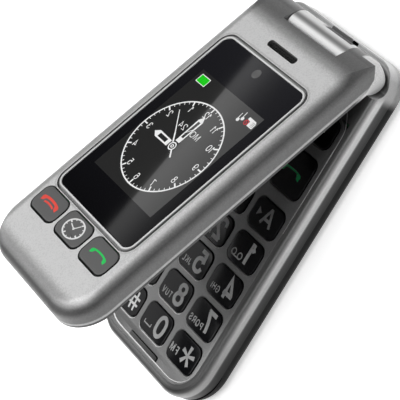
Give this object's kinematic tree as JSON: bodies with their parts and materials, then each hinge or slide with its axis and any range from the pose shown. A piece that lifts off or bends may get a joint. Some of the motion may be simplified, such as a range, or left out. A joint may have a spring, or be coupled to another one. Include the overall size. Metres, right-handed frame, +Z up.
{
  "type": "flip phone",
  "caption": "Folding mobile phone with its lid part open: outer clock display and call keys on the lid, large black keys on a silver-rimmed base.",
  "frame": {"origin": "centre of the base outline, on the plane of the back that the phone lies on", "axes": "+Z up out of the keypad, +Y along the base toward the hinge, +X toward the column with the first digit key"},
  "size_m": [0.058, 0.118, 0.0646],
  "materials": {
    "silver_paint": "metallic silver paint with a fine grain",
    "grey_shell": "satin grey",
    "grey_plate": "satin mid grey",
    "dark_case": "fine matt texture",
    "bright_trim": "bright plated",
    "cell_label": "wrapped cell",
    "gilt_contact": "gilt",
    "circuit_board": "solder mask",
    "dome_steel": "bright",
    "black_rubber": "matt",
    "hinge_steel": "turned",
    "bush_brass": "turned",
    "torch_lens": "smoked and clear",
    "led_resin": "moulded",
    "speaker_black": "moulded",
    "motor_steel": "pressed",
    "screw_steel": "zinc plated",
    "flex_film": "film",
    "outer_window": "black printed glass",
    "inner_window": "black printed glass",
    "display_unit": "module in a frame",
    "camera_body": "moulded",
    "mesh_steel": "punched",
    "lid_key_grey": "satin",
    "key_black": "gloss"
  },
  "bodies": {
    "base": {"base_frame": "silver_paint", "keypad_plate": "grey_plate", "back_housing": "dark_case", "battery_cover": "dark_case", "battery": "cell_label", "battery_contacts": "gilt_contact", "main_board": "circuit_board", "key_domes": "dome_steel", "end_pad": "black_rubber", "hinge_barrel": "bright_trim", "hinge_shaft": "hinge_steel", "hinge_bush": "bush_brass", "torch_window": "torch_lens", "torch_led": "led_resin", "loudspeaker": "speaker_black", "vibration_motor": "motor_steel", "microphone": "motor_steel", "charge_socket": "motor_steel", "base_screws": "screw_steel", "flex_cable": "flex_film"},
    "lid": {"lid_outer": "silver_paint", "lid_inner": "grey_shell", "window_rim": "bright_trim", "outer_glass": "outer_window", "outer_display": "display_unit", "inner_glass": "inner_window", "inner_display": "display_unit", "lid_board": "circuit_board", "lid_domes": "dome_steel", "camera_module": "camera_body", "speaker_mesh": "mesh_steel", "earpiece": "speaker_black", "hinge_cartridge": "hinge_steel", "lid_magnet": "motor_steel", "lid_screws": "screw_steel", "lid_bumpers": "black_rubber"},
    "key_1_body": {"key_1": "key_black"},
    "key_2_body": {"key_2": "key_black"},
    "key_3_body": {"key_3": "key_black"},
    "key_4_body": {"key_4": "key_black"},
    "key_5_body": {"key_5": "key_black"},
    "key_6_body": {"key_6": "key_black"},
    "key_7_body": {"key_7": "key_black"},
    "key_8_body": {"key_8": "key_black"},
    "key_9_body": {"key_9": "key_black"},
    "key_0_body": {"key_0": "key_black"},
    "key_star_body": {"key_star": "key_black"},
    "key_hash_body": {"key_hash": "key_black"},
    "key_a_body": {"key_a": "key_black"},
    "key_b_body": {"key_b": "key_black"},
    "key_c_body": {"key_c": "key_black"},
    "key_call_body": {"key_call": "key_black"},
    "key_end_body": {"key_end": "key_black"},
    "key_soft_r_body": {"key_soft_r": "key_black"},
    "key_soft_l_body": {"key_soft_l": "key_black"},
    "nav_ring_body": {"nav_ring": "key_black"},
    "nav_ok_body": {"nav_ok": "key_black"},
    "lid_key_end_body": {"lid_key_end": "lid_key_grey"},
    "lid_key_clock_body": {"lid_key_clock": "lid_key_grey"},
    "lid_key_call_body": {"lid_key_call": "lid_key_grey"}
  },
  "joints": [
    {"name": "lid_hinge", "type": "hinge", "parent": "base", "child": "lid", "pos_m": [0, 0.0535, 0.0134], "axis": [-1, 0, 0], "range_deg": [-25, 135]},
    {"name": "key_1_press", "type": "slide", "parent": "base", "child": "key_1_body", "axis": [0, 0, 1], "range_m": [-0.0004, 0], "stiffness_N_per_m": 1500},
    {"name": "key_2_press", "type": "slide", "parent": "base", "child": "key_2_body", "axis": [0, 0, 1], "range_m": [-0.0004, 0], "stiffness_N_per_m": 1500},
    {"name": "key_3_press", "type": "slide", "parent": "base", "child": "key_3_body", "axis": [0, 0, 1], "range_m": [-0.0004, 0], "stiffness_N_per_m": 1500},
    {"name": "key_4_press", "type": "slide", "parent": "base", "child": "key_4_body", "axis": [0, 0, 1], "range_m": [-0.0004, 0], "stiffness_N_per_m": 1500},
    {"name": "key_5_press", "type": "slide", "parent": "base", "child": "key_5_body", "axis": [0, 0, 1], "range_m": [-0.0004, 0], "stiffness_N_per_m": 1500},
    {"name": "key_6_press", "type": "slide", "parent": "base", "child": "key_6_body", "axis": [0, 0, 1], "range_m": [-0.0004, 0], "stiffness_N_per_m": 1500},
    {"name": "key_7_press", "type": "slide", "parent": "base", "child": "key_7_body", "axis": [0, 0, 1], "range_m": [-0.0004, 0], "stiffness_N_per_m": 1500},
    {"name": "key_8_press", "type": "slide", "parent": "base", "child": "key_8_body", "axis": [0, 0, 1], "range_m": [-0.0004, 0], "stiffness_N_per_m": 1500},
    {"name": "key_9_press", "type": "slide", "parent": "base", "child": "key_9_body", "axis": [0, 0, 1], "range_m": [-0.0004, 0], "stiffness_N_per_m": 1500},
    {"name": "key_0_press", "type": "slide", "parent": "base", "child": "key_0_body", "axis": [0, 0, 1], "range_m": [-0.0004, 0], "stiffness_N_per_m": 1500},
    {"name": "key_star_press", "type": "slide", "parent": "base", "child": "key_star_body", "axis": [0, 0, 1], "range_m": [-0.0004, 0], "stiffness_N_per_m": 1500},
    {"name": "key_hash_press", "type": "slide", "parent": "base", "child": "key_hash_body", "axis": [0, 0, 1], "range_m": [-0.0004, 0], "stiffness_N_per_m": 1500},
    {"name": "key_a_press", "type": "slide", "parent": "base", "child": "key_a_body", "axis": [0, 0, 1], "range_m": [-0.0004, 0], "stiffness_N_per_m": 1500},
    {"name": "key_b_press", "type": "slide", "parent": "base", "child": "key_b_body", "axis": [0, 0, 1], "range_m": [-0.0004, 0], "stiffness_N_per_m": 1500},
    {"name": "key_c_press", "type": "slide", "parent": "base", "child": "key_c_body", "axis": [0, 0, 1], "range_m": [-0.0004, 0], "stiffness_N_per_m": 1500},
    {"name": "key_call_press", "type": "slide", "parent": "base", "child": "key_call_body", "axis": [0, 0, 1], "range_m": [-0.0004, 0], "stiffness_N_per_m": 1500},
    {"name": "key_end_press", "type": "slide", "parent": "base", "child": "key_end_body", "axis": [0, 0, 1], "range_m": [-0.0004, 0], "stiffness_N_per_m": 1500},
    {"name": "key_soft_r_press", "type": "slide", "parent": "base", "child": "key_soft_r_body", "axis": [0, 0, 1], "range_m": [-0.0004, 0], "stiffness_N_per_m": 1500},
    {"name": "key_soft_l_press", "type": "slide", "parent": "base", "child": "key_soft_l_body", "axis": [0, 0, 1], "range_m": [-0.0004, 0], "stiffness_N_per_m": 1500},
    {"name": "nav_ring_press", "type": "slide", "parent": "base", "child": "nav_ring_body", "axis": [0, 0, 1], "range_m": [-0.0004, 0], "stiffness_N_per_m": 1500},
    {"name": "nav_ok_press", "type": "slide", "parent": "base", "child": "nav_ok_body", "axis": [0, 0, 1], "range_m": [-0.0004, 0], "stiffness_N_per_m": 1500},
    {"name": "lid_key_end_press", "type": "slide", "parent": "lid", "child": "lid_key_end_body", "axis": [0, 0.4226, 0.9063], "range_m": [-0.0003, 0], "stiffness_N_per_m": 1500},
    {"name": "lid_key_clock_press", "type": "slide", "parent": "lid", "child": "lid_key_clock_body", "axis": [0, 0.4226, 0.9063], "range_m": [-0.0003, 0], "stiffness_N_per_m": 1500},
    {"name": "lid_key_call_press", "type": "slide", "parent": "lid", "child": "lid_key_call_body", "axis": [0, 0.4226, 0.9063], "range_m": [-0.0003, 0], "stiffness_N_per_m": 1500}
  ]
}
